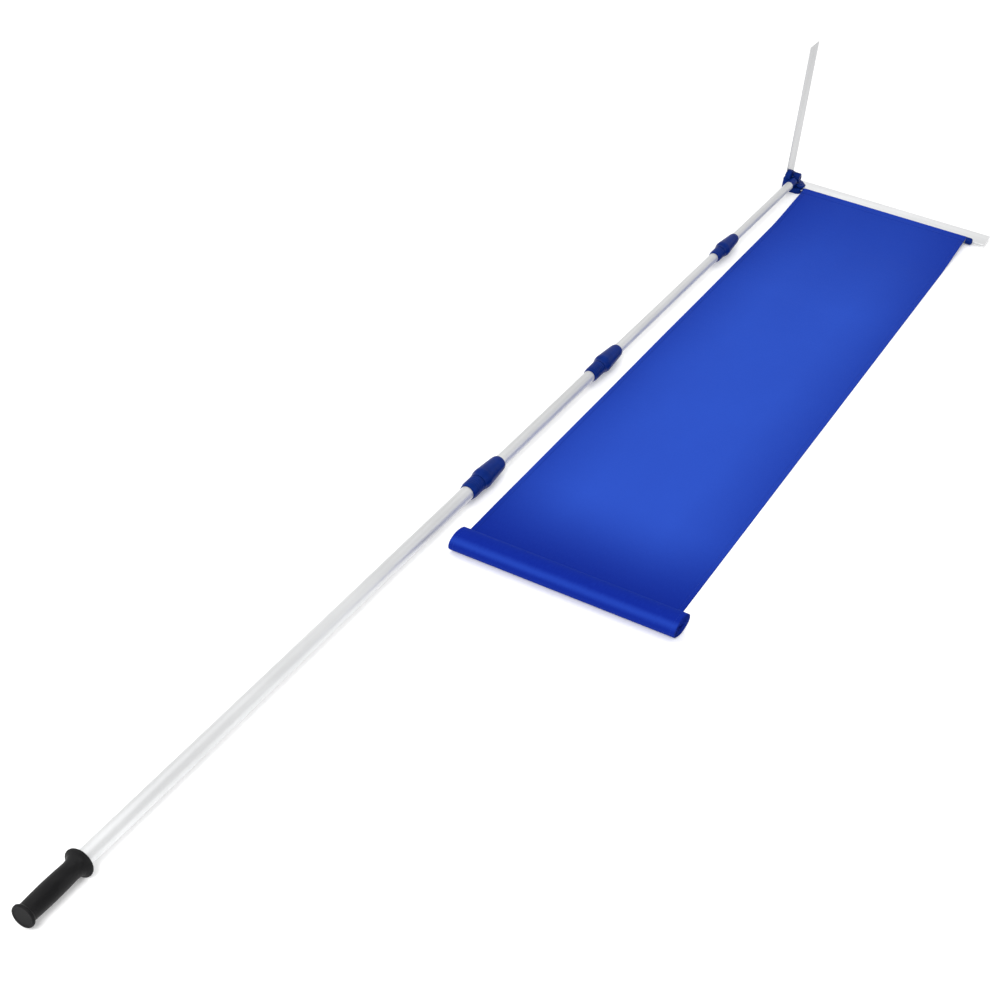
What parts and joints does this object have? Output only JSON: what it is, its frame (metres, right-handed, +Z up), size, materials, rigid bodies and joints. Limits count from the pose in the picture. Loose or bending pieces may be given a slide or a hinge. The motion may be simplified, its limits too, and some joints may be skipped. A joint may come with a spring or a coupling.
{
  "type": "roof snow rake",
  "caption": "Telescoping aluminium roof snow rake with twist-lock pole sections, an L-shaped blade frame clamped in a plastic corner hub, a rubber grip and a part-rolled blue slide sheet.",
  "frame": {"origin": "on the floor, middle of the corner hub's flat base, under the pole's axis", "axes": "+Y along the pole towards the blades, +X along the flat blade, +Z up along the upright blade"},
  "size_m": [0.672, 3.8375, 0.475],
  "materials": {
    "grip_rubber": "soft satin black rubber",
    "pole_aluminium": "satin anodised tube",
    "blade_aluminium": "satin rolled strip",
    "navy_plastic": "moulded, half gloss",
    "grey_plastic": "moulded, matt",
    "zinc_steel": "zinc plated",
    "slide_fabric": "coated woven polyester"
  },
  "bodies": {
    "handle_section": {"handle_grip": "grip_rubber", "tube_1": "pole_aluminium", "lock_body_1": "navy_plastic", "collet_1": "grey_plastic"},
    "lock_ring_1": {"lock_nut_1": "navy_plastic"},
    "section_2": {"tube_2": "pole_aluminium", "tube_plug_2": "grey_plastic", "lock_body_2": "navy_plastic", "collet_2": "grey_plastic"},
    "lock_ring_2": {"lock_nut_2": "navy_plastic"},
    "section_3": {"tube_3": "pole_aluminium", "tube_plug_3": "grey_plastic", "lock_body_3": "navy_plastic", "collet_3": "grey_plastic"},
    "lock_ring_3": {"lock_nut_3": "navy_plastic"},
    "rake_head": {"tube_4": "pole_aluminium", "tube_plug_4": "grey_plastic", "hub_body": "navy_plastic", "pole_rivet": "zinc_steel", "clamp_stud_upper": "zinc_steel", "clamp_washer_upper": "zinc_steel", "clamp_stud_lower": "zinc_steel", "clamp_washer_lower": "zinc_steel", "blade_upright": "blade_aluminium", "blade_flat": "blade_aluminium", "hem_rod": "grey_plastic", "rod_cap_outer": "navy_plastic", "rod_cap_inner": "navy_plastic", "slide_sheet": "slide_fabric", "sheet_roll": "slide_fabric"},
    "upper_knob": {"clamp_knob_upper": "navy_plastic"},
    "lower_knob": {"clamp_knob_lower": "navy_plastic"}
  },
  "joints": [
    {"name": "extend_section_2", "type": "slide", "parent": "handle_section", "child": "section_2", "axis": [0, 1, 0], "range_m": [-0.495, 0.81]},
    {"name": "extend_section_3", "type": "slide", "parent": "section_2", "child": "section_3", "axis": [0, 1, 0], "range_m": [-0.654, 0.65]},
    {"name": "extend_head", "type": "slide", "parent": "section_3", "child": "rake_head", "axis": [0, 1, 0], "range_m": [-0.44, 0.79]},
    {"name": "twist_lock_1", "type": "hinge", "parent": "handle_section", "child": "lock_ring_1", "pos_m": [0, -2.1005, 0.0312], "axis": [0, 1, 0], "range_deg": [0, 180]},
    {"name": "twist_lock_2", "type": "hinge", "parent": "section_2", "child": "lock_ring_2", "pos_m": [0, -1.4365, 0.0312], "axis": [0, 1, 0], "range_deg": [0, 180]},
    {"name": "twist_lock_3", "type": "hinge", "parent": "section_3", "child": "lock_ring_3", "pos_m": [0, -0.5905, 0.0312], "axis": [0, 1, 0], "range_deg": [0, 180]},
    {"name": "turn_upper_knob", "type": "hinge", "parent": "rake_head", "child": "upper_knob", "pos_m": [0, 0.001, 0.0355], "axis": [1, 0, 0], "range_deg": [0, 1080]},
    {"name": "turn_lower_knob", "type": "hinge", "parent": "rake_head", "child": "lower_knob", "pos_m": [0.0225, -0.017, 0.021], "axis": [0, 0, 1], "range_deg": [0, 1080]}
  ]
}
